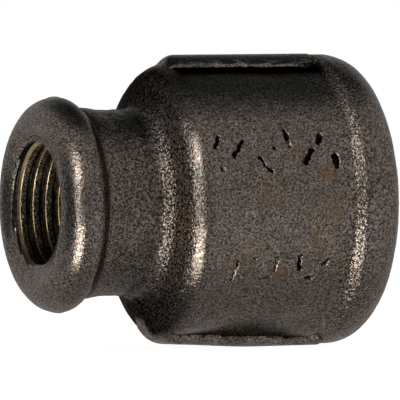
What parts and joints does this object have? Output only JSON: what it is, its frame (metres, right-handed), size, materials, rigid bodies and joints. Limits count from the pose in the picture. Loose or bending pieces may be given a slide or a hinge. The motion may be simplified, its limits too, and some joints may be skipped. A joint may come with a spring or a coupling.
{
  "type": "reducing pipe coupling",
  "caption": "Beaded black malleable-iron reducing coupling that joins a half-inch pipe to a quarter-inch pipe on one axis through two internally threaded sockets.",
  "frame": {"origin": "on the pipe axis, half-way between the two end faces", "axes": "+X along the pipe axis towards the large end, +Z towards the upper casting rib, +Y across"},
  "size_m": [0.036, 0.0304, 0.0306],
  "materials": {
    "cast_iron_body": "as-cast black iron with fine sand grain, dull oily sheen and machined threads inside"
  },
  "bodies": {
    "root": {"coupling_body": "cast_iron_body"}
  },
  "joints": []
}
